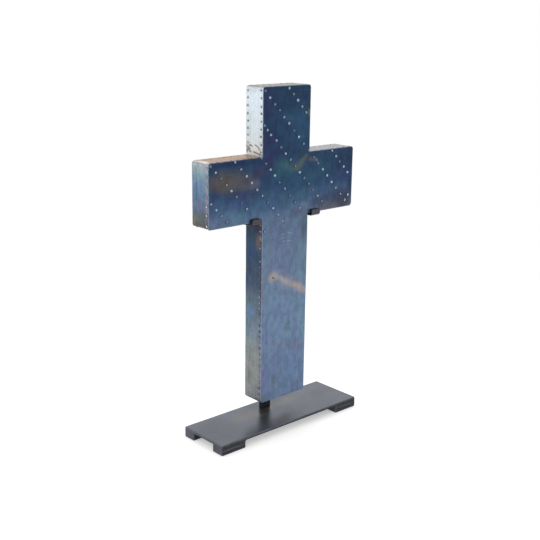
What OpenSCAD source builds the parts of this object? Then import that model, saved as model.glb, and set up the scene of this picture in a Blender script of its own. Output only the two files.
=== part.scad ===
/* [Cross] */
// Height of the cross, foot to head
cross_h = 500; // [400:5:600]
// Width over both arms
arm_span = 300; // [280:2:360]
// Width of the head, above the arms
head_w = 98; // [80:1:110]
// Width of the shaft, below the arms
shaft_w = 96; // [80:1:110]
// Height of the arms
arm_h = 98; // [80:1:110]
// Height of the arms' underside above the foot of the cross
arm_under = 299; // [240:1:320]
// How far head and shaft stand to the right of the arms' middle
shaft_shift = 2; // [-4:0.5:4]
// Depth of the cross, front face to back face
cross_d = 38.4; // [30:0.2:46]
// Rounding of the outline's outer corners, where the sheet is hammered over the timber
corner_r = 5;   // [2.5:0.5:6]
// Thickness of the steel sheet
sheet_t = 0.8; // [0.6:0.1:1.2]
// Width of the flange where front and back sheet are folded over the sides
flange_w = 10; // [6:0.5:14]

/* [Base] */
// Length of the base plate
plate_w = 296; // [240:2:320]
// Depth of the base plate
plate_d = 95; // [80:1:130]
// Thickness of the base plate
plate_t = 4; // [3:0.5:8]
// Length of each foot block
foot_w = 48; // [30:1:60]
// Depth of each foot block
foot_d = 24; // [16:1:30]
// Height of each foot block
foot_h = 13.5; // [8:0.5:20]
// Rounding of the plate's corners
plate_r = 3; // [1:0.5:4]

/* [Holder] */
// Clear height between the base plate and the foot of the cross
foot_gap = 32.5; // [15:0.5:50]
// Thickness of the flat bar
bar_t = 5; // [4:0.5:6]
// Width of the upright bar behind the shaft
upright_w = 22; // [16:1:30]
// Height of the back bar, which rests on the upright and carries the hooks
back_bar_h = 20; // [14:1:28]
// Width of each hook under the arms
hook_w = 19; // [14:1:26]
// Height of each hook's lip above the arm's underside
lip_h = 5.5; // [4:0.5:10]
// Play between each hook and the side of the shaft
hook_gap = 4.5; // [0.5:0.5:8]

/* [Hidden] */
$fn = 48;

plate_z = foot_h + plate_t;         // top of the base plate
cross_z = plate_z + foot_gap;       // foot of the cross
under_z = cross_z + arm_under;      // underside of the arms
seat_z = under_z - bar_t;           // underside of the hooks and of the back bar
arm_top_z = under_z + arm_h;        // top of the arms
head_z = cross_z + cross_h;         // top of the head
front_y = -cross_d / 2;             // front face of the cross
back_y = cross_d / 2;               // back face of the cross
core_d = cross_d - 2 * sheet_t;     // depth of the timber alone
head_x = [shaft_shift - head_w / 2, shaft_shift + head_w / 2];      // the head's two sides
shaft_x = [shaft_shift - shaft_w / 2, shaft_shift + shaft_w / 2];   // the shaft's two sides
arm_x = [-arm_span / 2, arm_span / 2];                              // the arms' two ends
mitre_d = 3 * corner_r;             // how far a strip's mitre lines are drawn in from the outline
lip_corner_r = 3;                   // rounding of the lip's top corners

// The outline's twelve corners, clockwise from the head's top left, as x and z
CORNERS = [
  [head_x[0], head_z], [head_x[1], head_z], [head_x[1], arm_top_z], [arm_x[1], arm_top_z],
  [arm_x[1], under_z], [shaft_x[1], under_z], [shaft_x[1], cross_z], [shaft_x[0], cross_z],
  [shaft_x[0], under_z], [arm_x[0], under_z], [arm_x[0], arm_top_z], [head_x[0], arm_top_z]
];

// Corner i of the outline, counted round and round
function corner(i) = CORNERS[(i + len(CORNERS)) % len(CORNERS)];

// Inward normal of the face from corner i to corner i + 1
function inward(i) =
  let (along = corner(i + 1) - corner(i), length = norm(along))
  [along[1] / length, -along[0] / length];

// Corner i moved in along its mitre by distance d from both faces
function mitred(i, d) = corner(i) + d * (inward(i - 1) + inward(i));

// A flat shape in x and z, stood up and given its depth from y_low to y_high
module stand(y_low, y_high)
  translate([0, y_high, 0]) rotate([90, 0, 0]) linear_extrude(y_high - y_low) children();

// Rectangle with round corners, from its lowest to its highest corner
module round_rect(low, high, r) {
  size = high - low;
  translate(low + [r, 0]) square([size[0] - 2 * r, size[1]]);
  translate(low + [0, r]) square([size[0], size[1] - 2 * r]);
  for (x = [low[0] + r, high[0] - r], z = [low[1] + r, high[1] - r])
    translate([x, z]) circle(r);
}

// Outline of the cross, drawn in by inset all round
module outline(inset) {
  r = corner_r - inset;
  round_rect([head_x[0] + inset, under_z + inset], [head_x[1] - inset, head_z - inset], r);
  round_rect([shaft_x[0] + inset, cross_z + inset], [shaft_x[1] - inset, arm_top_z - inset], r);
  round_rect([arm_x[0] + inset, under_z + inset], [arm_x[1] - inset, arm_top_z - inset], r);
}

// One thickness of sheet all round the outline, its outer face drawn in by inset
module sheet_ring(inset)
  difference() {
    outline(inset);
    outline(inset + sheet_t);
  }

// The cross of solid timber that the sheet is nailed to
module timber_core()
  color("#8a6a48") stand(-core_d / 2, core_d / 2) outline(2 * sheet_t);

// Cross-shaped sheet on the front, its edge folded back over the sides in a flange
module front_sheet()
  color("#34506e") {
    stand(front_y, front_y + sheet_t) outline(0);
    stand(front_y, front_y + flange_w) sheet_ring(0);
  }

// The same on the back, folded forward
module back_sheet()
  color("#3c4f66") {
    stand(back_y - sheet_t, back_y) outline(0);
    stand(back_y - flange_w, back_y) sheet_ring(0);
  }

// Strip on the face from corner i to corner i + 1, mitred into its neighbours, under both flanges
module edge_strip(i, tone)
  color(tone) stand(-core_d / 2, core_d / 2) intersection() {
    sheet_ring(sheet_t);
    polygon([corner(i), corner(i + 1), mitred(i + 1, mitre_d), mitred(i, mitre_d)]);
  }

module head_top_strip() edge_strip(0, "#b4b0ac");
module head_right_strip() edge_strip(1, "#4a5a70");
module right_arm_top_strip() edge_strip(2, "#bcbabb");
module right_arm_end_strip() edge_strip(3, "#4a5a70");
module right_arm_under_strip() edge_strip(4, "#3a4a60");
module shaft_right_strip() edge_strip(5, "#4a5a70");
module shaft_foot_strip() edge_strip(6, "#3a4a60");
module shaft_left_strip() edge_strip(7, "#56708c");
module left_arm_under_strip() edge_strip(8, "#3a4a60");
module left_arm_end_strip() edge_strip(9, "#7496b4");
module left_arm_top_strip() edge_strip(10, "#c0a694");
module head_left_strip() edge_strip(11, "#d2dce4");

// Flat base plate on its four feet
module base_plate()
  color("#6c7076") translate([0, 0, foot_h]) linear_extrude(plate_t)
    round_rect([-plate_w / 2, -plate_d / 2], [plate_w / 2, plate_d / 2], plate_r);

// Foot block under one corner of the plate, flush with its edges
module foot(side_x, side_y)
  color("#3a3c42") linear_extrude(foot_h) intersection() {
    round_rect([-plate_w / 2, -plate_d / 2], [plate_w / 2, plate_d / 2], plate_r);
    translate([side_x * (plate_w - foot_w) / 2, side_y * (plate_d - foot_d) / 2])
      square([foot_w, foot_d], center = true);
  }

module foot_front_left() foot(-1, -1);
module foot_front_right() foot(1, -1);
module foot_back_left() foot(-1, 1);
module foot_back_right() foot(1, 1);

// Flat bar standing on the plate against the back of the shaft
module upright()
  color("#2c2c30") translate([-upright_w / 2, back_y, plate_z])
    cube([upright_w, bar_t, seat_z - plate_z]);

// Bar across the back of the crossing, level with the hooks below and reaching out behind both arms
module back_bar() {
  length = shaft_w + 2 * (hook_gap + hook_w);
  color("#2c2c30") translate([shaft_shift - length / 2, back_y, seat_z])
    cube([length, bar_t, back_bar_h]);
}

// Side view of a hook, as y and z from the bend's outer corner: seat, bend and lip
module hook_side() {
  length = bar_t + cross_d;
  difference() {
    union() {
      translate([bar_t, 0]) square([length - bar_t, bar_t]);
      translate([0, bar_t]) square([bar_t, lip_h]);
      translate([bar_t, bar_t]) circle(bar_t);
    }
    translate([bar_t, bar_t]) square([length, lip_h]);
  }
}

// Front view of a hook, with the lip's two top corners rounded
module hook_face(x_low)
  round_rect([x_low, seat_z - lip_corner_r], [x_low + hook_w, under_z + lip_h], lip_corner_r);

// Bar that runs forward from the back bar under one arm and turns up in a lip at the front
module hook(x_low)
  color("#555253") intersection() {
    translate([x_low, front_y - bar_t, seat_z])
      rotate([90, 0, 90]) linear_extrude(hook_w) hook_side();
    stand(front_y - 2 * bar_t, back_y) hook_face(x_low);
  }

module hook_left() hook(shaft_x[0] - hook_gap - hook_w);
module hook_right() hook(shaft_x[1] + hook_gap);

timber_core();
front_sheet();
back_sheet();
head_top_strip();
head_right_strip();
right_arm_top_strip();
right_arm_end_strip();
right_arm_under_strip();
shaft_right_strip();
shaft_foot_strip();
shaft_left_strip();
left_arm_under_strip();
left_arm_end_strip();
left_arm_top_strip();
head_left_strip();
base_plate();
foot_front_left();
foot_front_right();
foot_back_left();
foot_back_right();
upright();
back_bar();
hook_left();
hook_right();
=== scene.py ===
import math
import random

import bmesh
import bpy
import numpy as np
from mathutils import Euler, Matrix, Vector, noise


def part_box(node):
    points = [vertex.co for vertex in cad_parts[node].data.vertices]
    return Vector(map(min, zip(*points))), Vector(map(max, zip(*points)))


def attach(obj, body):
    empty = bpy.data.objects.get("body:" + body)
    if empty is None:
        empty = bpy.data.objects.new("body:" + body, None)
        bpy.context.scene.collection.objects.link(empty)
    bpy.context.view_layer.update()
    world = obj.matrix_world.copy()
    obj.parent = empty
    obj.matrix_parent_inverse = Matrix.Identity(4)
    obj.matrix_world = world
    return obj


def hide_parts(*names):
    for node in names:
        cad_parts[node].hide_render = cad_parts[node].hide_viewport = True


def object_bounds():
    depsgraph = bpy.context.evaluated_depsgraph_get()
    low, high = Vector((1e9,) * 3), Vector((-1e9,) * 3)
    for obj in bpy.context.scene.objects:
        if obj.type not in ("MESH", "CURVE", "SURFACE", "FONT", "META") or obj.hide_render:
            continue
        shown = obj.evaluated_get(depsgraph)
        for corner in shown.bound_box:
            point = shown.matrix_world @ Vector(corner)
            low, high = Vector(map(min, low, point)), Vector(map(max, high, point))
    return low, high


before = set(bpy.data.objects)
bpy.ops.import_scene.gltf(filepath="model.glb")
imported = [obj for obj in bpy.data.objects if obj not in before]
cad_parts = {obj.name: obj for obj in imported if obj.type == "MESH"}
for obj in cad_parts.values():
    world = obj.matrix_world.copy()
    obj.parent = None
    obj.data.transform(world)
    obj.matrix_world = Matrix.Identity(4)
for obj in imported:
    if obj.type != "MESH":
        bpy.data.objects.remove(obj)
cad_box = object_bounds()

# ---- Camera ------------------------------------------------------------------------------
# Stands off the left front corner at a little over the height of the cross, turned to it and
# looking slightly down.

camera_place = Vector((-0.97153, -1.05743, 0.65809))
camera_yaw = math.radians(42.233)
camera_pitch = math.radians(15.5)
camera_roll = math.radians(0.771)

camera_data = bpy.data.cameras.new("camera")
camera_data.sensor_width = 36
camera_data.lens = 62.474
camera = bpy.data.objects.new("camera", camera_data)
bpy.context.scene.collection.objects.link(camera)
camera_turn = Matrix.Rotation(-camera_yaw, 4, "Z")
camera_turn = camera_turn @ Matrix.Rotation(math.pi / 2 - camera_pitch, 4, "X")
camera_turn = camera_turn @ Matrix.Rotation(camera_roll, 4, "Z")
camera.matrix_world = Matrix.Translation(camera_place) @ camera_turn
bpy.context.scene.camera = camera
bpy.context.scene.view_settings.view_transform = "Standard"

# ---- Studio ------------------------------------------------------------------------------
# A white floor that runs out of sight, white all round, and three large soft lamps: one high
# on the left, one low behind on the left, and one overhead.

floor_size = 30
floor_tone = (0.86, 0.86, 0.86, 1)
floor_lift = 0.42           # what the floor adds for the camera and for mirrored light
shadow_reach = (0.45, 1.2)  # the shadow's share of the floor fades out between these distances
room_level = 0.62           # how strongly the room lights the object


def add_node(tree, kind, inputs=None, **settings):
    """A shader node with these settings, each of the inputs named set to its value or linked."""
    node = tree.nodes.new("ShaderNode" + kind)
    for setting, value in settings.items():
        setattr(node, setting, value)
    for name, value in (inputs or {}).items():
        if isinstance(value, bpy.types.NodeSocket):
            tree.links.new(value, node.inputs[name])
        else:
            node.inputs[name].default_value = value
    return node


def worked_out(tree, operation, a, b):
    """One number from two. Either may be a plain number."""
    return add_node(tree, "Math", {0: a, 1: b}, operation=operation).outputs[0]


def ramp_between(tree, value, low, high, out_low=0.0, out_high=1.0):
    """value from low to high, eased, becomes out_low to out_high."""
    inputs = {"Value": value, "From Min": low, "From Max": high, "To Min": out_low, "To Max": out_high}
    return add_node(tree, "MapRange", inputs, interpolation_type="SMOOTHSTEP").outputs[0]


def object_place(tree):
    """Where a point of the surface lies, in the piece's own metres."""
    return add_node(tree, "TexCoord").outputs["Object"]


def new_material(name):
    """An empty node material with its tree and the place where its shader goes."""
    material = bpy.data.materials.new(name)
    material.use_nodes = True
    tree = material.node_tree
    tree.nodes.clear()
    return material, tree, add_node(tree, "OutputMaterial").inputs["Surface"]


def seen_directly(tree):
    """1 for camera, mirrored and see-through rays, and 0 for the light that falls on things."""
    path = add_node(tree, "LightPath")
    either = worked_out(tree, "MAXIMUM", path.outputs["Is Camera Ray"], path.outputs["Is Glossy Ray"])
    return worked_out(tree, "MAXIMUM", either, path.outputs["Is Transmission Ray"])


def soft_lamp(name, place, aim, size, watts):
    """A square lamp at place that shines towards aim."""
    bpy.ops.object.light_add(type="AREA", location=place)
    lamp = bpy.context.object
    lamp.name = name
    lamp.data.shape = "SQUARE"
    lamp.data.size = size
    lamp.data.energy = watts
    lamp.rotation_euler = (Vector(aim) - Vector(place)).to_track_quat("-Z", "Y").to_euler()


bpy.ops.mesh.primitive_plane_add(size=floor_size, location=(0, 0, cad_box[0].z))
floor = bpy.context.object
floor.name = "floor"
floor_paint, tree, surface = new_material("floor_paint")
matt = add_node(tree, "BsdfDiffuse", {"Color": floor_tone})
lift_level = worked_out(tree, "MULTIPLY", seen_directly(tree), floor_lift)
lift = add_node(tree, "Emission", {"Strength": lift_level})
both = add_node(tree, "AddShader", {0: matt.outputs[0], 1: lift.outputs[0]})
plain_white = add_node(tree, "Emission")
from_object = add_node(tree, "VectorMath", {0: object_place(tree)}, operation="LENGTH")
far = ramp_between(tree, from_object.outputs["Value"], *shadow_reach)
far_and_seen = worked_out(tree, "MULTIPLY", far, seen_directly(tree))
fading = add_node(tree, "MixShader", {0: far_and_seen, 1: both.outputs[0], 2: plain_white.outputs[0]})
tree.links.new(fading.outputs[0], surface)
floor.data.materials.append(floor_paint)

world = bpy.data.worlds.new("white_room")
bpy.context.scene.world = world
world.use_nodes = True
tree = world.node_tree
tree.nodes.clear()
level = add_node(tree, "MapRange", {"Value": seen_directly(tree), "To Min": room_level, "To Max": 1})
room = add_node(tree, "Background", {"Color": (1, 1, 1, 1), "Strength": level.outputs[0]})
add_node(tree, "OutputWorld", {"Surface": room.outputs[0]})

soft_lamp("key_lamp", (-1.3, -0.9, 1.5), (0, 0, 0.3), 1.2, 9)
soft_lamp("left_lamp", (-1.3, 1.1, 0.7), (0, 0, 0.4), 1.0, 2)
soft_lamp("top_lamp", (0.3, 0.5, 1.8), (0, 0, 0.3), 1.2, 7)

# ---- Timber core -------------------------------------------------------------------------
# A cross of planed pine, which the steel is nailed to all round. It lies wholly inside the
# steel, and none of it shows.


def paint(red, green, blue):
    """A colour in everyday 0 to 255 steps, as the shader wants it."""
    steps = [value / 255 for value in (red, green, blue)]
    linear = [s / 12.92 if s <= 0.04045 else ((s + 0.055) / 1.055) ** 2.4 for s in steps]
    return (*linear, 1)


def noise_at(tree, place, scale, detail=3, stretch=(1, 1, 1)):
    """A cloudy pattern, scale features to the metre, drawn out along the axes by stretch."""
    drawn = add_node(tree, "Mapping", {"Vector": place, "Scale": stretch}).outputs[0]
    return add_node(tree, "TexNoise", {"Vector": drawn, "Scale": scale, "Detail": detail}).outputs["Fac"]


def lay_over(tree, mask, under, over):
    """Colour over on top of colour under where mask is 1. Either may be 0 to 255 steps."""
    under, over = [paint(*tone) if isinstance(tone, tuple) else tone for tone in (under, over)]
    return add_node(tree, "Mix", {0: mask, 6: under, 7: over}, data_type="RGBA").outputs[2]


pine, tree, surface = new_material("pine")
grain = noise_at(tree, object_place(tree), 90, 4, (1, 1, 0.06))
rings = ramp_between(tree, grain, 0.42, 0.58)
wood = lay_over(tree, rings, (176, 140, 96), (134, 98, 62))
shader = add_node(tree, "BsdfPrincipled", {"Base Color": wood, "Roughness": 0.7})
tree.links.new(shader.outputs[0], surface)
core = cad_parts["timber_core"]
core.data.materials.clear()
core.data.materials.append(pine)

# ---- Edge strips -------------------------------------------------------------------------
# Twelve strips of thin steel, one on each side of the timber, laid on first. Each was heated apart from
# the others, so each has its own temper colours, from straw to pale silver blue. Some of this colour is
# painted light: a painted reflection on the head's left side, painted highlights on the left arm's end
# and top, and painted shade high on the shaft's left side.

mm = 0.001
sheet_low, sheet_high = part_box("front_sheet")
back_low, back_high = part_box("back_sheet")
arm_left, arm_right = sheet_low.x, sheet_high.x
foot_z, head_z = sheet_low.z, sheet_high.z
sheet_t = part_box("left_arm_end_strip")[0].x - arm_left
head_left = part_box("head_left_strip")[0].x - sheet_t
head_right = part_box("head_right_strip")[1].x + sheet_t
shaft_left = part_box("shaft_left_strip")[0].x - sheet_t
shaft_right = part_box("shaft_right_strip")[1].x + sheet_t
arm_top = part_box("left_arm_top_strip")[1].z + sheet_t
arm_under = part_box("left_arm_under_strip")[0].z - sheet_t

# The outline's corners, clockwise from the head's top left, and the side that follows each
corners = [
    (head_left, head_z), (head_right, head_z), (head_right, arm_top), (arm_right, arm_top),
    (arm_right, arm_under), (shaft_right, arm_under), (shaft_right, foot_z), (shaft_left, foot_z),
    (shaft_left, arm_under), (arm_left, arm_under), (arm_left, arm_top), (head_left, arm_top),
]
side_names = [
    "head_top", "head_right", "right_arm_top", "right_arm_end", "right_arm_under", "shaft_right",
    "shaft_foot", "shaft_left", "left_arm_under", "left_arm_end", "left_arm_top", "head_left",
]
sides = []
for i, side in enumerate(side_names):
    start = Vector((corners[i][0], 0, corners[i][1]))
    end = Vector((corners[(i + 1) % 12][0], 0, corners[(i + 1) % 12][1]))
    along = (end - start).normalized()
    sides.append((side, start, end, Vector((-along.z, 0, along.x))))


def distance_to_line(point, start, end):
    """How far a point lies from the line between two others."""
    run = end - start
    offset = point - start
    share = min(1, max(0, offset.dot(run) / run.length_squared))
    return (offset - run * share).length


def nearest_side(x, z):
    """Number of the side that a point of the front view lies nearest to."""
    point = Vector((x, 0, z))
    return min(range(12), key=lambda i: distance_to_line(point, sides[i][1], sides[i][2]))


def times(tree, *values):
    """The product of these values."""
    product = values[0]
    for value in values[1:]:
        product = worked_out(tree, "MULTIPLY", product, value)
    return product


def new_group(name, values, vectors):
    """A node group with these inputs, each with its value, and one output, Mask. Also gives its
    inputs by name, and the place where the mask goes."""
    group = bpy.data.node_groups.new(name, "ShaderNodeTree")
    for kind, inputs in (("NodeSocketVector", vectors), ("NodeSocketFloat", values)):
        for socket_name, value in inputs.items():
            socket = group.interface.new_socket(socket_name, in_out="INPUT", socket_type=kind)
            socket.default_value = value
    group.interface.new_socket("Mask", in_out="OUTPUT", socket_type="NodeSocketFloat")
    group_in = group.nodes.new("NodeGroupInput")
    group_out = group.nodes.new("NodeGroupOutput")
    return group, group_in.outputs, group_out.inputs[0]


# Where the torch was held, or where a painted light or shade falls: a soft oval, 1 in its middle and 0
# past its rim
heat_and_light_patch, given, mask_out = new_group(
    "heat_and_light_patch",
    {"Softness": 0.8, "Strength": 1.0},
    {"Place": (0, 0, 0), "Centre": (0, 0, 0), "Reach": (1, 1, 1), "Turn": (0, 0, 0)},
)
oval = add_node(
    heat_and_light_patch, "Mapping", vector_type="TEXTURE",
    inputs={"Vector": given["Place"], "Location": given["Centre"], "Rotation": given["Turn"],
            "Scale": given["Reach"]},
)
from_middle = add_node(heat_and_light_patch, "VectorMath", {0: oval.outputs[0]}, operation="LENGTH")
inner_rim = worked_out(heat_and_light_patch, "SUBTRACT", 1, given["Softness"])
fade = ramp_between(heat_and_light_patch, from_middle.outputs["Value"], 1, inner_rim)
heat_and_light_patch.links.new(times(heat_and_light_patch, fade, given["Strength"]), mask_out)

# Fine marks of handling, all in about one direction
scratches, given, mask_out = new_group(
    "scratches", {"Amount": 1.0}, {"Place": (0, 0, 0), "Stretch": (40, 400, 900)}
)
drawn_out = add_node(
    scratches, "VectorMath", {0: given["Place"], 1: given["Stretch"]}, operation="MULTIPLY"
)
strokes = add_node(scratches, "TexNoise", {"Vector": drawn_out.outputs[0], "Scale": 1, "Detail": 1})
few = ramp_between(scratches, strokes.outputs["Fac"], 0.66, 0.74)
where = ramp_between(scratches, noise_at(scratches, given["Place"], 30, 2), 0.45, 0.65)
scratches.links.new(times(scratches, few, where, given["Amount"]), mask_out)

# Bare bright metal along a bend, broken up where hands and cloths have missed it
edge_wear, given, mask_out = new_group("edge_wear", {"Bend": 0.0, "Amount": 1.0}, {"Place": (0, 0, 0)})
missed = ramp_between(edge_wear, noise_at(edge_wear, given["Place"], 160, 3), 0.3, 0.6, 0.25, 1.0)
rubbed = ramp_between(edge_wear, given["Bend"], 0.25, 0.75)
edge_wear.links.new(times(edge_wear, rubbed, missed, given["Amount"]), mask_out)


def group_mask(tree, group, place, **inputs):
    """One of the groups placed in a material, with its inputs set or linked."""
    return add_node(tree, "Group", {"Place": place, **inputs}, node_tree=group).outputs["Mask"]


def attribute(tree, name):
    """A value that the mesh carries, point by point."""
    return add_node(tree, "Attribute", attribute_name=name).outputs["Fac"]


def finish_metal(tree, surface, colour, metallic, roughness, grain=None, relief=(0.25, 0.0004)):
    """The metal's shader. relief is the grain's strength and its depth in metres."""
    inputs = {"Base Color": colour, "Metallic": metallic, "Roughness": roughness}
    if grain:
        bump = add_node(tree, "Bump", {"Height": grain, "Strength": relief[0], "Distance": relief[1]})
        inputs["Normal"] = bump.outputs[0]
    tree.links.new(add_node(tree, "BsdfPrincipled", inputs).outputs[0], surface)


def patch_mask(tree, place, centre, reach, strength, turn=(0, 0, 0), base_z=foot_z):
    """A patch of heat colour or of painted light, with its middle and reach in millimetres, the middle's
    height above base_z.
    """
    return group_mask(
        tree, heat_and_light_patch, place, Strength=strength,
        Centre=(centre[0] * mm, centre[1] * mm, base_z + centre[2] * mm),
        Reach=tuple(r * mm for r in reach), Turn=tuple(math.radians(t) for t in turn),
    )


def tempered_steel(name, bands, patches, play=0.013, mottle=1.0, streaks_below=0, arcs=None,
                   wear=0.45, marks=0.06, metallic=0.85, roughness=0.38):
    """Heat-coloured steel. bands are (height, colour) from low to high, in millimetres above
    the foot of the cross; patches are (centre, reach, turn, colour, strength), in millimetres
    and degrees, laid over the bands one by one. play is how far the colour drifts between teal
    and violet from place to place, and mottle how blotchy it is."""
    material, tree, surface = new_material(name)
    place = object_place(tree)

    # The rims of bands and patches wander
    wander = add_node(tree, "TexNoise", {"Vector": place, "Scale": 30, "Detail": 4})
    centred = add_node(
        tree, "VectorMath", {0: wander.outputs["Color"], 1: (0.5, 0.5, 0.5)}, operation="SUBTRACT"
    )
    ragged = []
    for reach in (0.036, 0.016):
        shift = add_node(tree, "VectorMath", {0: centred.outputs[0], "Scale": reach}, operation="SCALE")
        shifted = add_node(tree, "VectorMath", {0: place, 1: shift.outputs[0]}, operation="ADD")
        ragged.append(shifted.outputs[0])
    height = add_node(tree, "SeparateXYZ", {0: ragged[0]}).outputs["Z"]
    colour = bands[0][1]
    for (low, _), (high, tone) in zip(bands, bands[1:]):
        rise = ramp_between(tree, height, foot_z + low * mm, foot_z + high * mm)
        colour = lay_over(tree, rise, colour, tone)
    for centre, reach, turn, tone, strength in patches:
        mask = patch_mask(tree, ragged[1], centre, reach, strength, turn)
        colour = lay_over(tree, mask, colour, tone)

    # The blue drifts to teal in one place and to violet in another
    wide = noise_at(tree, place, 22, 4, (1.1, 1, 0.8))
    close = noise_at(tree, place, 85, 4)
    light = noise_at(tree, place, 120, 5, (1, 1, 0.6))
    drift = worked_out(
        tree, "ADD", ramp_between(tree, wide, 0.3, 0.7, -play, play),
        ramp_between(tree, close, 0.3, 0.7, 0.5 - 0.8 * play, 0.5 + 0.8 * play),
    )
    lightness = ramp_between(tree, light, 0.3, 0.7, 1 - 0.13 * mottle, 1 + 0.13 * mottle)
    drifting = add_node(tree, "HueSaturation", {"Color": colour, "Hue": drift, "Value": lightness})
    colour = drifting.outputs["Color"]

    # Rolled grain, blotches and small pits
    blotch = noise_at(tree, place, 260, 4)
    darker = ramp_between(tree, blotch, 0.55, 0.75, 0, 0.2 * mottle)
    colour = lay_over(tree, darker, colour, (40, 48, 62))
    if streaks_below:
        upright = noise_at(tree, place, 330, 2, (1, 1, 0.06))
        streak = ramp_between(tree, upright, 0.48, 0.72, 0, 0.08)
        lower_down = ramp_between(
            tree, height, foot_z + streaks_below * mm, foot_z + (streaks_below - 60) * mm
        )
        colour = lay_over(tree, times(tree, streak, lower_down), colour, (150, 168, 192))
    pits = ramp_between(tree, noise_at(tree, place, 450, 1), 0.7, 0.77, 0, 0.5 * mottle)
    colour = lay_over(tree, pits, colour, (56, 62, 72))
    if arcs:
        # Faint curved lines left by the polishing wheel
        centre, reach, line_gap = arcs
        hub = (centre[0] * mm, 0, foot_z + (centre[2] - 1.6 * reach[2]) * mm)
        swung = add_node(tree, "Mapping", {"Vector": place, "Location": hub}, vector_type="TEXTURE")
        rings = add_node(
            tree, "TexWave",
            {"Vector": swung.outputs[0], "Scale": 2 * math.pi / 20 / (line_gap * mm), "Distortion": 2.5,
             "Detail Scale": 0.6},
            wave_type="RINGS", rings_direction="Y",
        )
        line = ramp_between(tree, rings.outputs["Fac"], 0.8, 0.97)
        broken = ramp_between(tree, noise_at(tree, place, 130, 2), 0.42, 0.6)
        area = patch_mask(tree, place, centre, reach, 0.6)
        colour = lay_over(tree, times(tree, line, broken, area), colour, (150, 162, 196))

    marks_mask = group_mask(tree, scratches, place, Amount=marks)
    colour = lay_over(tree, marks_mask, colour, (176, 188, 202))
    # Darker round each brad head, a painted shadow, and along the hammer blows on the head's left side.
    colour = lay_over(tree, attribute(tree, "nail_shade_and_blows"), colour, (34, 38, 50))
    worn_mask = group_mask(tree, edge_wear, place, Bend=attribute(tree, "bend"), Amount=wear)
    colour = lay_over(tree, worn_mask, colour, (156, 166, 178))
    rough = ramp_between(tree, blotch, 0.3, 0.7, roughness - 0.05, roughness + 0.07)
    finish_metal(tree, surface, colour, metallic, rough, blotch)
    return material


def on_face(axis, at, spots, through=30):
    """Patches for a flat face square to an axis and lying at this place on it. Each spot is its
    middle and its reach along the two other axes, its colour, its strength and any turn."""
    patches = []
    for a, b, reach_a, reach_b, tone, strength, *turn in spots:
        centre, reach, angle = [a, b], [reach_a, reach_b], [0, 0]
        centre.insert(axis, at)
        reach.insert(axis, through)
        angle.insert(axis, turn[0] if turn else 0)
        patches.append((centre, reach, angle, tone, strength))
    return patches


side_steel = {}
side_steel["head_top"] = tempered_steel(
    "head_top_steel", [(490, (128, 127, 122)), (500, (132, 131, 126))],
    on_face(2, 500, [
        (-20, 0, 30, 10, (150, 149, 139), 0.6), (30, 6, 20, 10, (118, 120, 116), 0.6),
    ]),
    play=0.012, mottle=0.5,
)
side_steel["right_arm_top"] = tempered_steel(
    "right_arm_top_steel", [(390, (158, 158, 163)), (400, (162, 162, 167))],
    on_face(2, 397, [
        (120, 0, 30, 12, (146, 144, 150), 0.6), (70, 6, 16, 10, (144, 148, 156), 0.5),
    ]),
    play=0.012, mottle=0.6,
)
side_steel["left_arm_top"] = tempered_steel(
    "left_arm_top_steel", [(390, (160, 131, 107)), (400, (162, 133, 109))],
    on_face(2, 397, [
        # The near white spot at the left end, at (-148, 0), is a painted highlight where the rounded
        # corner catches the light.
        (-148, 0, 13, 30, (210, 206, 202), 0.9), (-100, 6, 26, 14, (172, 142, 116), 0.6),
        (-58, 0, 16, 30, (182, 160, 138), 0.7),
    ]),
    play=0.008, mottle=0.4,
)
# Painted reflection: the head's left side is painted near white all over, the colour it shows when it
# mirrors a bright lamp.
side_steel["head_left"] = tempered_steel(
    "head_left_steel",
    [(394, (216, 213, 206)), (410, (208, 210, 210)), (426, (203, 211, 216)), (500, (206, 218, 227))],
    on_face(0, -47, [
        (-12, 480, 10, 34, (208, 220, 230), 0.4), (12, 440, 8, 40, (196, 206, 208), 0.6),
        (0, 494, 30, 7, (186, 188, 190), 0.55),
    ]),
    play=0.012, mottle=0.35, metallic=0.75, wear=0.3,
)
side_steel["left_arm_end"] = tempered_steel(
    "left_arm_end_steel",
    # The silver top band and the pale line along the top edge, at (0, 392), are a painted highlight where
    # the rounded edge catches the light.
    [(300, (86, 88, 88)), (316, (92, 102, 108)), (334, (94, 116, 140)), (362, (104, 132, 158)),
     (380, (128, 152, 168)), (397, (152, 160, 164))],
    on_face(0, -150, [
        (-15, 345, 6, 66, (140, 132, 144), 0.75), (-15, 312, 6, 14, (92, 88, 98), 0.7),
        (10, 352, 7, 22, (84, 120, 142), 0.7), (-2, 332, 8, 10, (108, 108, 148), 0.6),
        (12, 384, 7, 8, (136, 138, 122), 0.7), (6, 374, 6, 6, (146, 162, 146), 0.5),
        (12, 312, 8, 14, (116, 116, 100), 0.8), (0, 392, 20, 5, (160, 160, 162), 0.6),
    ]),
    play=0.018, marks=0.35,
)
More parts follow.
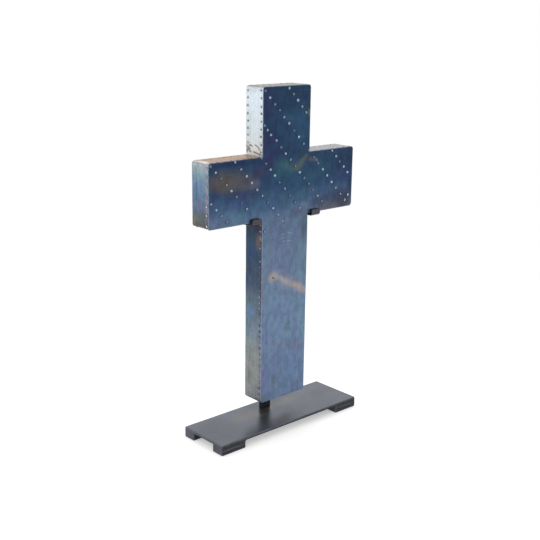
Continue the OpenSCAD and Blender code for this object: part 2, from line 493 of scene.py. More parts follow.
# The bands darken to navy towards the arm: temper colour, and partly a painted shade under the arm and
# hook. The dark brown spot at (-14, 290) is a painted shadow of the left hook.
side_steel["shaft_left"] = tempered_steel(
    "shaft_left_steel",
    [(0, (124, 128, 130)), (80, (126, 132, 134)), (120, (110, 128, 142)), (160, (88, 104, 120)),
     (205, (60, 78, 98)), (250, (48, 68, 94)), (298, (46, 56, 80))],
    on_face(0, -46, [
        (6, 148, 14, 20, (96, 128, 156), 0.7), (-12, 266, 14, 22, (104, 94, 90), 0.8),
        (-14, 290, 10, 9, (62, 52, 50), 0.8), (-15, 272, 4, 5, (152, 134, 124), 0.5),
        (6, 250, 12, 30, (50, 78, 112), 0.6), (-4, 122, 10, 12, (120, 112, 142), 0.6),
        (8, 96, 10, 16, (120, 130, 134), 0.7), (2, 64, 12, 12, (132, 130, 126), 0.7),
        (8, 40, 10, 24, (118, 124, 112), 0.7), (-18, 205, 6, 74, (66, 60, 76), 0.75),
        (-17, 80, 4, 100, (104, 104, 112), 0.4),
    ]),
    play=0.018, mottle=1.1,
)
for side in ("head_right", "right_arm_end", "shaft_right"):
    side_steel[side] = tempered_steel(
        side + "_steel",
        [(0, (112, 120, 132)), (150, (88, 108, 132)), (300, (66, 88, 114)), (500, (56, 74, 102))],
        on_face(0, 150, [(0, 350, 16, 30, (112, 100, 104), 0.6)])
        + on_face(0, 48, [(0, 200, 20, 40, (116, 126, 146), 0.6), (6, 90, 14, 30, (118, 126, 118), 0.6)])
        + on_face(0, 50, [(-4, 450, 12, 24, (130, 142, 154), 0.5)]),
        play=0.02,
    )
for side in ("right_arm_under", "left_arm_under", "shaft_foot"):
    side_steel[side] = tempered_steel(
        side + "_steel", [(0, (84, 92, 106)), (300, (72, 84, 104))],
        on_face(2, 299, [(-100, 0, 30, 20, (96, 94, 96), 0.6), (100, 4, 24, 14, (100, 88, 86), 0.6)]),
        play=0.02,
    )

cell = 3 * mm            # size of the strips' mesh


def ripple(x, y, z, size, height):
    """A smooth, shallow unevenness, size across and up to height either way."""
    return height * noise.noise(Vector((x, y, z)) / size)


def only(*pieces):
    """Select these pieces and nothing else, and make the first the active one."""
    bpy.ops.object.select_all(action="DESELECT")
    for piece in pieces:
        piece.select_set(True)
    bpy.context.view_layer.objects.active = pieces[0]


def smooth(degrees):
    """Shade the piece in hand smooth, but for edges sharper than this."""
    bpy.ops.object.shade_smooth_by_angle(angle=math.radians(degrees))


def merged_copy(node, name):
    """The CAD node's shape as a new piece, its loose triangles made whole faces again."""
    piece = bpy.data.objects.new(name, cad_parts[node].data.copy())
    piece.data.name = name
    piece.data.materials.clear()
    bpy.context.scene.collection.objects.link(piece)
    only(piece)
    if piece.data.has_custom_normals:
        bpy.ops.mesh.customdata_custom_splitnormals_clear()
    bpy.ops.object.mode_set(mode="EDIT")
    bpy.ops.mesh.select_all(action="SELECT")
    bpy.ops.mesh.remove_doubles(threshold=0.002 * mm)
    bpy.ops.mesh.dissolve_limited(angle_limit=math.radians(0.5))
    bpy.ops.object.mode_set(mode="OBJECT")
    return piece


def score(axis, at, **options):
    """Cut the piece in edit mode along the plane square to an axis at this place on it."""
    normal = [0, 0, 0]
    normal[axis] = 1
    point = [0, 0, 0]
    point[axis] = at
    bpy.ops.mesh.select_all(action="SELECT")
    bpy.ops.mesh.bisect(plane_co=point, plane_no=normal, **options)


def cut_across(axis, low, high, step):
    """Cut the piece in edit mode into slices of about step, square to an axis."""
    count = max(1, round((high - low) / step))
    for i in range(1, count):
        score(axis, low + (high - low) * i / count)


def bend_value(x, z, depth, radius):
    """1 on a fold of the rim and 0 a radius away from it."""
    _, start, end, _ = sides[nearest_side(x, z)]
    from_side = distance_to_line(Vector((x, 0, z)), start, end)
    return 1 - min(1, max(from_side, depth) / radius)


# Slanting hammer blows low on the head's left side: where each starts and ends, in Y and above
# the foot, in millimetres
blows = [
    (18, 412, 15.5, 408), (15, 407.5, 11.5, 404.3), (11, 403.8, 7, 401.3), (10.5, 412.3, 4.5, 410.2),
    (-2, 412.6, -6.5, 411), (-7.5, 410.4, -11.5, 408.4), (1.5, 402, -4, 400.8), (-5.5, 400.5, -11, 399.8),
    (-12, 399.5, -16.5, 399.1), (17.5, 404.5, 15.5, 400.6), (13.5, 409.3, 9.5, 406),
]


def struck(y, z, reach):
    """1 in the middle of a blow on the head's left side, and 0 reach millimetres away from all."""
    point = Vector((y / mm, (z - foot_z) / mm))
    distances = [distance_to_line(point, Vector(blow[:2]), Vector(blow[2:])) for blow in blows]
    return 1 - min(reach, *distances) / reach


# The outline's outer corners, each with its inward ways, and how far they are rounded
corner_r = 5 * mm
outer_corners = [
    (head_left, head_z, 1, -1), (head_right, head_z, -1, -1),
    (arm_right, arm_top, -1, -1), (arm_right, arm_under, -1, 1),
    (shaft_right, foot_z, -1, 1), (shaft_left, foot_z, 1, 1),
    (arm_left, arm_under, 1, 1), (arm_left, arm_top, 1, -1),
]


def way_out(x, z, outward):
    """Square to the side, or along the radius where the side runs into a rounded corner."""
    for corner_x, corner_z, inward_x, inward_z in outer_corners:
        across = corner_r - (x - corner_x) * inward_x
        along = corner_r - (z - corner_z) * inward_z
        if across > 0 and along > 0:
            return Vector((-across * inward_x, 0, -along * inward_z)).normalized()
    return outward


risen = 0.72 * mm        # the strip is hammered up between the flanges, almost level with them
hem = 0.1 * mm           # and starts to rise this far from their edges
blow_depth = 0.5 * mm
blow_reach = 1.4         # in millimetres
strip_wave = 26 * mm     # from one ripple of a strip to the next
strip_swell = 0.2 * mm   # and their height
still_ends = 8 * mm      # the ripples die out this far from a strip's ends

for side, start, end, outward in sides:
    strip = merged_copy(side + "_strip", side + "_steel_strip")
    low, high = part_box(side + "_strip")
    bpy.ops.object.mode_set(mode="EDIT")
    fine = 1 * mm if side == "head_left" else cell
    cut_across(1, low.y, high.y, min(fine, 2.2 * mm))
    for axis in (0, 2):
        if high[axis] - low[axis] > 4 * cell:
            cut_across(axis, low[axis], high[axis], fine)
    for seam in (sheet_high.y, sheet_high.y + hem, back_low.y - hem, back_low.y):
        score(1, seam)
    bpy.ops.object.mode_set(mode="OBJECT")
    mid = (start + end) / 2
    half = (end - start).length / 2
    along = (end - start).normalized()
    dark = strip.data.attributes.new("nail_shade_and_blows", "FLOAT", "POINT")
    for i, vertex in enumerate(strip.data.vertices):
        x, y, z = vertex.co
        from_end = half - abs((vertex.co - mid).dot(along))
        fade_out = min(1, max(0, from_end / still_ends))
        push = fade_out * ripple(x, y, z, strip_wave, strip_swell)
        if sheet_high.y + 0.9 * hem < y < back_low.y - 0.9 * hem:
            push += risen
        if side == "head_left":
            blow = struck(y, z, blow_reach)
            push -= blow_depth * blow
            dark.data[i].value = min(0.9, 1.2 * blow)
        vertex.co += way_out(x, z, outward) * push
    only(strip)
    smooth(35)
    strip.data.materials.append(side_steel[side])
    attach(strip, "root")
    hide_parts(side + "_strip")

# ---- Back sheet --------------------------------------------------------------------------
# A cross cut from one sheet of the same steel, nailed on the back. Its rim is folded forward
# over the edge strips in a flange with a soft bend. It is plainer than the front.

fold_r = 1.8 * mm
sheet_cell = 2 * mm
flange_w = back_high.y - back_low.y


def inside_outline(x, z, margin=0.0):
    """Whether a point of the front view lies in the cross, at least margin from its sides."""
    in_head = head_left + margin < x < head_right - margin and arm_under < z < head_z - margin
    in_shaft = shaft_left + margin < x < shaft_right - margin and foot_z + margin < z < arm_top
    in_arms = arm_left + margin < x < arm_right - margin and arm_under + margin < z < arm_top - margin
    return in_head or in_shaft or in_arms


def round_off(x, z):
    """A point near one of the outline's outer corners, drawn in to the corner's arc."""
    for corner_x, corner_z, inward_x, inward_z in outer_corners:
        from_x = corner_r - (x - corner_x) * inward_x
        from_z = corner_r - (z - corner_z) * inward_z
        if from_x > 0 and from_z > 0:
            share = max(from_x, from_z) / math.hypot(from_x, from_z)
            x = corner_x + (corner_r - from_x * share) * inward_x
            z = corner_z + (corner_r - from_z * share) * inward_z
    return x, z


def folded_cross(name, face_y, inward):
    """A cross of sheet with its face at face_y and its rim folded inward along Y."""
    width, tall = arm_right - arm_left, head_z - foot_z
    middle = ((arm_left + arm_right) / 2, face_y, (foot_z + head_z) / 2)
    bpy.ops.mesh.primitive_grid_add(
        x_subdivisions=round(width / sheet_cell), y_subdivisions=round(tall / sheet_cell), size=1,
        location=middle, rotation=(math.pi / 2, 0, 0),
    )
    cross = bpy.context.object
    cross.name = name
    cross.data.name = name
    cross.scale = (width, tall, 1)
    bpy.ops.object.transform_apply(location=True, rotation=True, scale=True)

    # Score the outline, cut the four waste corners away and round the outer corners
    bpy.ops.object.mode_set(mode="EDIT")
    for x in (head_left, head_right, shaft_left, shaft_right):
        score(0, x, threshold=0.01 * mm)
    for z in (arm_under, arm_top):
        score(2, z, threshold=0.01 * mm)
    bpy.ops.mesh.select_mode(type="FACE")
    bpy.ops.mesh.select_all(action="DESELECT")
    mesh = bmesh.from_edit_mesh(cross.data)
    for face in mesh.faces:
        centre = face.calc_center_median()
        face.select_set(not inside_outline(centre.x, centre.z))
    bmesh.update_edit_mesh(cross.data)
    bpy.ops.mesh.delete(type="FACE")
    mesh = bmesh.from_edit_mesh(cross.data)
    for vertex in mesh.verts:
        vertex.co.x, vertex.co.z = round_off(vertex.co.x, vertex.co.z)
    bmesh.update_edit_mesh(cross.data)

    # Fold the rim back, row by row, and soften the fold
    bpy.ops.mesh.select_mode(type="EDGE")
    bpy.ops.mesh.select_all(action="DESELECT")
    bpy.ops.mesh.select_non_manifold()
    rows = round(flange_w / sheet_cell)
    for _ in range(rows):
        bpy.ops.mesh.extrude_region_move(
            TRANSFORM_OT_translate={"value": (0, inward * flange_w / rows, 0)}
        )
    bpy.ops.mesh.select_all(action="SELECT")
    bpy.ops.mesh.normals_make_consistent(inside=False)
    bpy.ops.mesh.select_all(action="DESELECT")
    mesh = bmesh.from_edit_mesh(cross.data)
    for edge in mesh.edges:
        on_face = all(abs(v.co.y - face_y) < 0.01 * mm for v in edge.verts)
        if on_face and len(edge.link_faces) == 2 and edge.calc_face_angle() > 1:
            edge.select_set(True)
    bmesh.update_edit_mesh(cross.data)
    bpy.ops.mesh.bevel(offset=fold_r, segments=3, clamp_overlap=True)
    bpy.ops.object.mode_set(mode="OBJECT")
    facing = sum(p.normal.y * p.area for p in cross.data.polygons)
    if facing * inward > 0:
        cross.data.flip_normals()
    return cross


# Round each nail the sheet is drawn in, and painted darker: a painted shadow round the head.
dip_reach = 3 * mm       # how far the sheet is drawn in round a nail
nail_shade_reach = 2.5 * mm    # and darkened
flange_blow_reach = 2.2  # the hammer marks are softer on the flange, in millimetres


def dress_sheet(cross, face_y, inward, nails, face_steel, dent, ripples):
    """Give a folded cross its ripples, its dents round the nails, its steel and its thickness."""
    mesh = cross.data
    places = np.array([v.co for v in mesh.vertices])
    depth = (places[:, 1] - face_y) * inward
    # A painted shadow darkens the sheet round each nail; on the head's left flange the dark hammer blows
    # join it.
    dip = np.zeros(len(places))
    shade_and_blows = np.zeros(len(places))
    for nail_place, _ in nails:
        away = np.linalg.norm(places - np.array(nail_place), axis=1)
        dip = np.maximum(dip, np.exp(-((away / dip_reach) ** 2)))
        shade_and_blows = np.maximum(shade_and_blows, 0.4 * np.exp(-((away / nail_shade_reach) ** 2)))
    bends = mesh.attributes.new("bend", "FLOAT", "POINT")
    rings = mesh.attributes.new("nail_shade_and_blows", "FLOAT", "POINT")
    for i, vertex in enumerate(mesh.vertices):
        x, y, z = vertex.co
        bends.data[i].value = bend_value(x, z, depth[i], fold_r)
        side, _, _, outward = sides[nearest_side(x, z)]
        if outward.z > 0.5 and depth[i] > fold_r:
            shade_and_blows[i] *= 0.3
        if side == "head_left" and depth[i] > fold_r:
            shade_and_blows[i] = max(shade_and_blows[i], struck(y, z, flange_blow_reach))
        rings.data[i].value = shade_and_blows[i]
        push = -dent * dip[i]
        if depth[i] < 0.2 * fold_r:
            push += ripple(x, y, z, 34 * mm, ripples) + ripple(x, y, z, 12 * mm, 0.25 * ripples)
            vertex.co.y -= inward * push
        else:
            edge_share = max(0, (depth[i] - fold_r) / (flange_w - fold_r))
            push += edge_share * ripple(x, y, z, 11 * mm, 0.25 * mm)
            vertex.co += outward * push
            if depth[i] > flange_w - 0.5 * mm:
                vertex.co.y += inward * ripple(x, 0, z, 9 * mm, 0.5 * mm)

    mesh.materials.append(face_steel)
    for side in side_names:
        mesh.materials.append(side_steel[side])
    for face in mesh.polygons:
        face_depth = (face.center.y - face_y) * inward
        if abs(face.normal.y) < 0.5 and face_depth > 0.3 * fold_r:
            face.material_index = 1 + nearest_side(face.center.x, face.center.z)
    only(cross)
    bpy.ops.object.shade_smooth()
    thick = cross.modifiers.new("thickness", "SOLIDIFY")
    thick.thickness = sheet_t
    thick.offset = -1
    bpy.ops.object.modifier_apply(modifier="thickness")
    smooth(40)


brad_from_fold = 4.2 * mm
end_gap = 6 * mm         # from the end of a side to its first brad
usual_pitch = 12.5       # along a flange, in millimetres
side_pitch = {
    "head_left": 10.8, "shaft_left": 9.6, "left_arm_end": 14, "head_right": 11, "shaft_right": 10,
}
row_slant = math.radians(46)
chance = random.Random(7)


def flange_nails(face_y, inward, bare_sides=()):
    """Where the brads go through one sheet's flange, side by side, with each brad's outward way."""
    nails = []
    for side, start, end, outward in sides:
        if side in bare_sides:
            continue
        pitch = side_pitch.get(side, usual_pitch) * mm
        run = (end - start).length - 2 * end_gap
        count = round(run / pitch)
        for i in range(count + 1):
            distance = end_gap + run * i / count + chance.uniform(-1.1, 1.1) * mm
            place = start + (end - start).normalized() * distance
            place.y = face_y + inward * (brad_from_fold + chance.uniform(-0.5, 0.5) * mm)
            nails.append((place, outward))
    return nails


def face_nails(rows, face_y, inward):
    """Where the slanting rows of brads go through the face. A row is its first brad's place
    from the middle and above the foot, its last brad's place from the middle, and its count."""
    nails = []
    fall = math.tan(row_slant)
    for first_x, first_z, last_x, count in rows:
        for i in range(count):
            x = first_x + (last_x - first_x) * i / max(1, count - 1)
            z = first_z - (x - first_x) * fall
            x += chance.uniform(-0.5, 0.5)
            z += chance.uniform(-0.5, 0.5)
            place = Vector((x * mm, face_y, foot_z + z * mm))
            nails.append((place, Vector((0, -inward, 0))))
    return nails


back_y = back_high.y
back_flange_nails = flange_nails(
    back_y, -1, ("left_arm_end", "right_arm_end", "shaft_left", "shaft_right")
)
back_rows = [
    (-40, 488, 138, 13), (-42, 400, 38, 6), (-138, 390, -60, 6), (-34, 250, 38, 6), (-34, 110, 38, 6),
]
back_face_nails = face_nails(back_rows, back_y, -1)
back_steel = tempered_steel(
    "back_sheet_steel",
    [(0, (98, 112, 134)), (120, (92, 112, 138)), (260, (74, 96, 122)), (330, (58, 78, 104)),
     (500, (50, 66, 94))],
    on_face(1, 19, [
        (60, 340, 60, 26, (92, 86, 92), 0.6, 20), (-90, 350, 50, 24, (56, 88, 110), 0.6, -15),
        (0, 180, 40, 20, (132, 128, 132), 0.5, 30), (10, 60, 44, 30, (106, 120, 150), 0.6),
    ], 60),
)
back_sheet = folded_cross("back_steel_sheet", back_y, -1)
back_nails = back_face_nails + back_flange_nails
dress_sheet(back_sheet, back_y, -1, back_nails, back_steel, dent=0.3 * mm, ripples=0.35 * mm)
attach(back_sheet, "root")
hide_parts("back_sheet")

# ---- Front sheet -------------------------------------------------------------------------
# The show side: one sheet of steel cut to a cross and heated until it ran from navy through teal to steel
# blue, folded back over the edge strips and nailed in slanting rows. Its lightening from head to foot is
# partly a painted reflection.

front_y = sheet_low.y
front_flange_nails = flange_nails(front_y, 1)
front_rows = [
    (5, 496, 42, 5), (101, 394, 138, 5), (-43, 494, -4, 5), (6, 443, 134, 13), (-44, 443, -31, 3),
    (-20, 419, 81, 11), (-49, 395, -22, 4), (-12, 355, 32, 5), (-100, 394, -3, 10), (-146, 393, -68, 9),
    (-42, 282, -42, 1), (-145, 338, -116, 4), (141, 318, 141, 1),
]
front_face_nails = face_nails(front_rows, front_y, 1)
front_steel = tempered_steel(
    "front_sheet_steel",
    # From foot to head the bands darken from steel blue to navy: temper colour, and also a painted
    # reflection, the lower part painted lighter as where the steel mirrors a brighter room.
    [(0, (94, 112, 142)), (150, (102, 124, 152)), (250, (98, 118, 144)), (304, (90, 112, 138)),
     (324, (62, 90, 120)), (350, (42, 69, 101)), (400, (37, 62, 93)), (500, (34, 57, 88))],
    on_face(1, -19, [
        # Left arm: a straw-brown patch going to grey, violet under it
        (-118, 366, 56, 25, (84, 80, 78), 0.95, 5), (-80, 362, 36, 20, (80, 78, 86), 0.75, 8),
        (-54, 376, 20, 12, (62, 56, 76), 0.6), (-62, 356, 18, 12, (92, 96, 112), 0.65),
        (-78, 344, 56, 9, (56, 62, 94), 0.6), (-98, 392, 62, 7, (32, 50, 82), 0.8),
        (-88, 312, 60, 16, (76, 106, 134), 0.5),
        # Crossing: teal, with an olive and tan streak
        (-6, 376, 40, 24, (46, 84, 100), 0.6, 10), (-2, 378, 28, 8, (62, 94, 104), 0.4, 20),
        (22, 374, 20, 9, (78, 96, 94), 0.6), (33, 380, 22, 11, (84, 98, 92), 0.6, -38),
        (40, 386, 12, 5, (108, 110, 94), 0.35, -38), (57, 382, 15, 6, (98, 96, 94), 0.55, 10),
        (66, 380, 7, 3.5, (146, 140, 134), 0.4, 40), (-34, 388, 16, 18, (50, 46, 78), 0.5),
        # Head: violet at the left, teal at the right, a tan edge high on the right
        (-36, 480, 18, 40, (44, 52, 88), 0.6), (-38, 420, 20, 24, (46, 46, 80), 0.6),
        (28, 440, 30, 50, (44, 82, 108), 0.7), (2, 452, 34, 12, (40, 74, 104), 0.5, 20),
        (34, 392, 9, 9, (40, 68, 94), 0.5), (50, 456, 5, 14, (112, 112, 100), 0.6, -12),
        # Right arm: navy, teal above and mauve brown along the bottom
        (92, 366, 26, 20, (36, 66, 94), 0.6, 30), (124, 376, 30, 24, (30, 50, 80), 0.6),
        (122, 318, 48, 20, (56, 62, 84), 0.9), (96, 304, 34, 9, (92, 84, 92), 0.8),
        (132, 306, 26, 12, (66, 62, 74), 0.8), (78, 314, 34, 14, (60, 64, 82), 0.6),
        (147, 334, 12, 24, (38, 52, 76), 0.8), (146, 380, 12, 18, (28, 44, 70), 0.6),
        # Shaft: violet and teal in upright streaks
        (26, 304, 26, 12, (84, 92, 124), 0.6), (42, 280, 18, 36, (80, 98, 112), 0.75),
        (36, 238, 18, 26, (96, 126, 140), 0.6), (-12, 222, 26, 12, (102, 112, 148), 0.4),
        (-44, 190, 8, 60, (104, 118, 130), 0.5), (12, 122, 6, 16, (84, 102, 110), 0.7),
        (42, 96, 12, 52, (98, 132, 150), 0.7), (-28, 134, 16, 24, (100, 128, 150), 0.5),
        (2, 88, 52, 8, (112, 116, 140), 0.45, 8), (34, 78, 16, 16, (114, 116, 142), 0.45),
        (-40, 44, 9, 30, (108, 106, 148), 0.6), (-18, 30, 7, 16, (88, 100, 108), 0.6),
        (-45, 8, 8, 12, (98, 96, 92), 0.7), (18, 40, 28, 34, (92, 118, 154), 0.5),
        # The pale tan run across the shaft in its violet halo, and the dark spot it starts from
        (8, 194, 60, 20, (122, 126, 150), 0.7, 27), (-22, 206, 15, 14, (160, 152, 148), 0.8),
        (0, 197, 30, 7.5, (160, 152, 148), 0.8, 27), (30, 182, 34, 8.5, (162, 150, 146), 0.8, 27),
        (-21, 205, 2.6, 2.6, (52, 58, 48), 0.95),
    ], 60),
    streaks_below=290, arcs=((4, -19, 266), (28, 60, 24), 6),
)
front_sheet = folded_cross("front_steel_sheet", front_y, 1)
front_nails = front_face_nails + front_flange_nails
dress_sheet(front_sheet, front_y, 1, front_nails, front_steel, dent=0.35 * mm, ripples=0.3 * mm)
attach(front_sheet, "root")
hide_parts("front_sheet")

# ---- Brads -------------------------------------------------------------------------------
# Small steel brads with domed heads hold both sheets: slanting rows on the faces, and one row along every
# flange but the back's arm ends and shaft sides. Each head stands a little proud, tilted as it was
# driven.

brad_r = 2.2 * mm
brad_h = 0.8 * mm
brad_sunk = 0.25 * mm


def brad_material(name, tone, dark, roughness):
    """Bright steel, dulled in patches."""
    material, tree, surface = new_material(name)
    dull = ramp_between(tree, noise_at(tree, object_place(tree), 95, 1), 0.38, 0.6)
    rough = ramp_between(tree, dull, 0, 1, roughness, roughness + 0.15)
    finish_metal(tree, surface, lay_over(tree, dull, tone, dark), 0.85, rough)
    return material


bright_brad = brad_material("bright_brad", (158, 175, 194), (96, 114, 140), 0.42)
polished_brad = brad_material("polished_brad", (198, 204, 214), (132, 138, 150), 0.34)
straw_brad = brad_material("straw_brad", (176, 162, 150), (132, 124, 118), 0.4)
mauve_brad = brad_material("mauve_brad", (142, 143, 156), (102, 102, 116), 0.55)
dark_brad = brad_material("dark_brad", (128, 134, 144), (84, 90, 102), 0.4)

bpy.ops.mesh.primitive_uv_sphere_add(segments=10, ring_count=8, radius=brad_r)
brad = bpy.context.object
brad.name = "brad"
bpy.ops.object.mode_set(mode="EDIT")
score(2, -0.1 * brad_r, clear_inner=True, use_fill=True)
bpy.ops.mesh.select_all(action="SELECT")
bpy.ops.transform.resize(value=(1, 1, brad_h / brad_r))
bpy.ops.object.mode_set(mode="OBJECT")
smooth(50)


def drive_brads(name, nails, material, smaller=1.0):
    """Copies of the brad driven in at these places, joined as one piece."""
    heads = []
    for place, outward in nails:
        head = bpy.data.objects.new(name, brad.data.copy())
        size = smaller * chance.uniform(0.85, 1.1)
        tilt = Euler((chance.uniform(-0.16, 0.16), chance.uniform(-0.16, 0.16), chance.uniform(0, 3)))
        turn = outward.to_track_quat("Z", "Y").to_matrix() @ tilt.to_matrix()
        middle = place - outward * brad_sunk
        head.data.transform(Matrix.Translation(middle) @ (turn * size).to_4x4())
        bpy.context.scene.collection.objects.link(head)
        heads.append(head)
    only(*heads)
    bpy.ops.object.join()
    joined = bpy.context.object
    joined.name = name
    joined.data.name = name
    joined.data.materials.append(material)
    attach(joined, "root")


drive_brads("front_brads", front_face_nails, bright_brad)
drive_brads("back_brads", back_face_nails, bright_brad)
flange_places = front_flange_nails + back_flange_nails
on_head_left = [n for n in flange_places if n[1].x < -0.5 and n[0].z > arm_top]
on_tops = [n for n in flange_places if n[1].z > 0.5]
on_arm_ends = [n for n in flange_places if abs(n[0].x) > head_right + 0.05 and abs(n[1].x) > 0.5]
elsewhere = [n for n in flange_places if n not in on_head_left + on_tops + on_arm_ends]
drive_brads("head_left_brads", on_head_left, dark_brad, 0.6)
drive_brads("top_brads", on_tops, straw_brad, 0.55)
drive_brads("arm_end_brads", on_arm_ends, polished_brad, 0.85)
drive_brads("shaft_brads", elsewhere, mauve_brad, 0.85)
bpy.data.objects.remove(brad)

# ---- Base plate and feet -----------------------------------------------------------------
# A flat bar of hot-rolled steel on four short blocks, welded flush under its corners and blackened. The
# top is painted a soft grey, a painted sheen for the light that falls on it, and the welds were dressed
# back to a line.

eased_edge = 2.4 * mm
bead_leg = 5.5 * mm
seam_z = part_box("base_plate")[0].z


def eased_copy(node, name, ease, welded_z=None):
    """The CAD node's shape with its sharp edges taken off, marked as worn. Edges that lie at
    the height welded_z stay as they are, because they are welded and dressed flush."""
    piece = merged_copy(node, name)
    bpy.ops.object.mode_set(mode="EDIT")
    bpy.ops.mesh.select_mode(type="EDGE")
    bpy.ops.mesh.select_all(action="DESELECT")
    bpy.ops.mesh.edges_select_sharp(sharpness=math.radians(30))
    mesh = bmesh.from_edit_mesh(piece.data)
    for edge in mesh.edges:
        if welded_z is not None and all(abs(v.co.z - welded_z) < 0.01 * mm for v in edge.verts):
            edge.select_set(False)
    bmesh.update_edit_mesh(piece.data)
    bpy.ops.mesh.bevel(offset=ease, segments=3)
    bpy.ops.mesh.select_mode(type="FACE")
    bpy.ops.object.mode_set(mode="OBJECT")
    rubbed = piece.data.attributes.new("bend", "FLOAT", "FACE")
    for face in piece.data.polygons:
        rubbed.data[face.index].value = 1.0 if face.select else 0.0
    only(piece)
    smooth(35)
    flats = piece.modifiers.new("flats", "WEIGHTED_NORMAL")
    flats.keep_sharp = True
    bpy.ops.object.modifier_apply(modifier="flats")
    return piece


def blackened_steel(name, tone, cloud, rubbed_tone, wear, roughness, lit_faces=(), patches_and_reflections=()):
    """Blackened mill steel: cloudy, faintly brushed and paler on its edges. The faces listed with their
    tones are painted lighter by the way they face, a painted light for the lamps' light on them: (axis,
    way it faces, light tone, dark tone). The patches are in millimetres, as for tempered_steel, with
    heights from the frame's origin: stains, and painted reflections of the parts standing above."""
    material, tree, surface = new_material(name)
    place = object_place(tree)
    clouds = noise_at(tree, place, 26, 5, (0.6, 1, 1))
    fine = noise_at(tree, place, 420, 3, (0.1, 1, 1))
    colour = lay_over(tree, ramp_between(tree, clouds, 0.38, 0.66), tone, cloud)
    facing = add_node(tree, "SeparateXYZ", {0: add_node(tree, "NewGeometry").outputs["Normal"]})
    # Painted light: the faces given are painted lighter by the way they face, for the lamps' light on
    # them.
    for axis, way, light_tone, dark_tone in lit_faces:
        faces_so = ramp_between(tree, times(tree, facing.outputs[axis], way), 0.5, 0.95)
        cloudy = ramp_between(tree, clouds, 0.35, 0.7)
        lit_clouds = lay_over(tree, cloudy, light_tone, dark_tone)
        colour = lay_over(tree, faces_so, colour, lit_clouds)
    broken = ramp_between(tree, fine, 0.3, 0.6, 0.6, 1)
    for centre, reach, _, spot_tone, strength in patches_and_reflections:
        mask = times(tree, patch_mask(tree, place, centre, reach, strength, base_z=0), broken)
        colour = lay_over(tree, mask, colour, spot_tone)
    colour = lay_over(tree, ramp_between(tree, fine, 0.5, 0.8, 0, 0.25), colour, rubbed_tone)
    worn_mask = group_mask(tree, edge_wear, place, Bend=attribute(tree, "bend"), Amount=wear)
    colour = lay_over(tree, worn_mask, colour, rubbed_tone)
    rough = ramp_between(tree, clouds, 0.3, 0.7, roughness - 0.05, roughness + 0.06)
    finish_metal(tree, surface, colour, 0.75, rough, fine, (0.2, 0.0003))
    return material


# Painted light: the top is painted a paler grey and the left ends a little paler, for the light that
# falls on them. Of the patches on the top, the warm pale ones round the upright's foot are a painted
# reflection of the cross, and the dark one in front of the shaft a painted reflection of the shaft.
plate_steel = blackened_steel(
    "plate_steel", (50, 52, 58), (42, 44, 48), (104, 108, 116), 0.4, 0.32,
    [("Z", 1, (110, 115, 125), (100, 104, 114)), ("X", -1, (82, 84, 90), (68, 70, 76))],
    on_face(2, 17.5, [
        (-116, -6, 64, 64, (80, 84, 92), 0.75), (-52, 12, 34, 18, (126, 118, 108), 0.8),
        (-24, 0, 16, 12, (176, 164, 150), 0.7), (-2, 14, 16, 10, (176, 162, 146), 0.7),
        (46, 20, 44, 16, (132, 126, 118), 0.6), (-8, -30, 30, 12, (76, 76, 76), 0.6),
        (108, -28, 40, 22, (104, 110, 120), 0.6),
    ], 3),
)
# Painted light: the left ends are painted paler for the light that falls on them, and the pale band low
# along each front foot's face is a painted highlight over grinding streaks.
foot_steel = blackened_steel(
    "foot_steel", (48, 50, 56), (40, 42, 46), (96, 100, 108), 0.4, 0.42,
    [("X", -1, (80, 82, 88), (66, 68, 74))],
    on_face(1, -47, [(-126, 8, 34, 2.2, (92, 94, 100), 0.75), (124, 9, 30, 2, (86, 88, 94), 0.6)], 6),
)
plate = eased_copy("base_plate", "base_steel_plate", eased_edge, seam_z)
plate.data.materials.append(plate_steel)
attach(plate, "root")
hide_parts("base_plate")


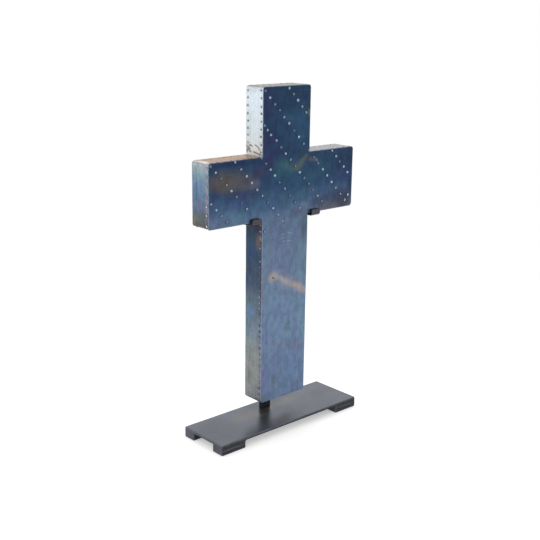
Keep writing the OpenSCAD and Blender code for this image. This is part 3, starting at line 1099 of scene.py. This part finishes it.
def weld_bead(low, high, away, name):
    """A bar of weld from low to high under the plate, dressed hollow on the side facing away."""
    middle = (low + high) / 2
    bpy.ops.mesh.primitive_cube_add(size=1, location=middle, scale=high - low)
    bead = bpy.context.object
    bead.name = name
    bead.data.name = name
    bpy.ops.object.transform_apply(location=True, rotation=True, scale=True)
    bpy.ops.object.mode_set(mode="EDIT")
    bpy.ops.mesh.select_mode(type="EDGE")
    bpy.ops.mesh.select_all(action="DESELECT")
    mesh = bmesh.from_edit_mesh(bead.data)
    for edge in mesh.edges:
        centre = (edge.verts[0].co + edge.verts[1].co) / 2
        if centre.z < middle.z and (centre - middle).dot(away) > 0.4 * abs((high - low).dot(away)):
            edge.select_set(True)
    bmesh.update_edit_mesh(bead.data)
    bpy.ops.mesh.bevel(offset=0.92 * (high.z - low.z), segments=6, profile=0.1)
    bpy.ops.object.mode_set(mode="OBJECT")
    smooth(35)
    return bead


for corner in ("front_left", "front_right", "back_left", "back_right"):
    foot = eased_copy("foot_" + corner, "steel_foot_" + corner, eased_edge, seam_z)
    foot.data.materials.append(foot_steel)
    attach(foot, "root")
    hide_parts("foot_" + corner)

    # Welded to the plate along its two inner sides
    low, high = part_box("foot_" + corner)
    inward_x = 1 if corner.endswith("left") else -1
    inward_y = 1 if corner.startswith("front") else -1
    beads = []
    for axis, way, bead_name in ((1, inward_y, "weld_"), (0, inward_x, "weld_side_")):
        inner = high[axis] if way > 0 else low[axis]
        bead_low = Vector((low.x + eased_edge, low.y + eased_edge, seam_z - bead_leg))
        bead_high = Vector((high.x - eased_edge, high.y - eased_edge, seam_z))
        bead_low[axis] = min(inner, inner + way * bead_leg)
        bead_high[axis] = max(inner, inner + way * bead_leg)
        away = Vector((0, 0, 0))
        away[axis] = way
        beads.append(weld_bead(bead_low, bead_high, away, bead_name + corner))
    only(*beads)
    bpy.ops.object.join()
    weld = bpy.context.object
    weld.data.materials.append(foot_steel)
    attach(weld, "root")

# ---- Upright, back bar and hooks ---------------------------------------------------------
# Flat bar, blackened: an upright welded to the plate behind the shaft, a bar across its top,
# and two hooks that run forward under the arms and turn up in short lips at the front.

bar_edge = 1.4 * mm
bar_steel = blackened_steel("bar_steel", (40, 40, 44), (30, 30, 32), (84, 84, 88), 0.3, 0.45)
# Painted light: the lips' front faces are painted a paler grey and their tops and sides near black, for
# how the light falls on them.
lip_steel = blackened_steel(
    "lip_steel", (34, 33, 35), (26, 26, 28), (92, 90, 90), 0.25, 0.45,
    [("Y", -1, (78, 77, 80), (62, 62, 65))],
)
for node, name, steel in (
    ("upright", "steel_upright", bar_steel),
    ("back_bar", "steel_back_bar", bar_steel),
    ("hook_left", "steel_hook_left", lip_steel),
    ("hook_right", "steel_hook_right", lip_steel),
):
    bar = eased_copy(node, name, bar_edge)
    bar.data.materials.append(steel)
    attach(bar, "root")
    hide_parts(node)
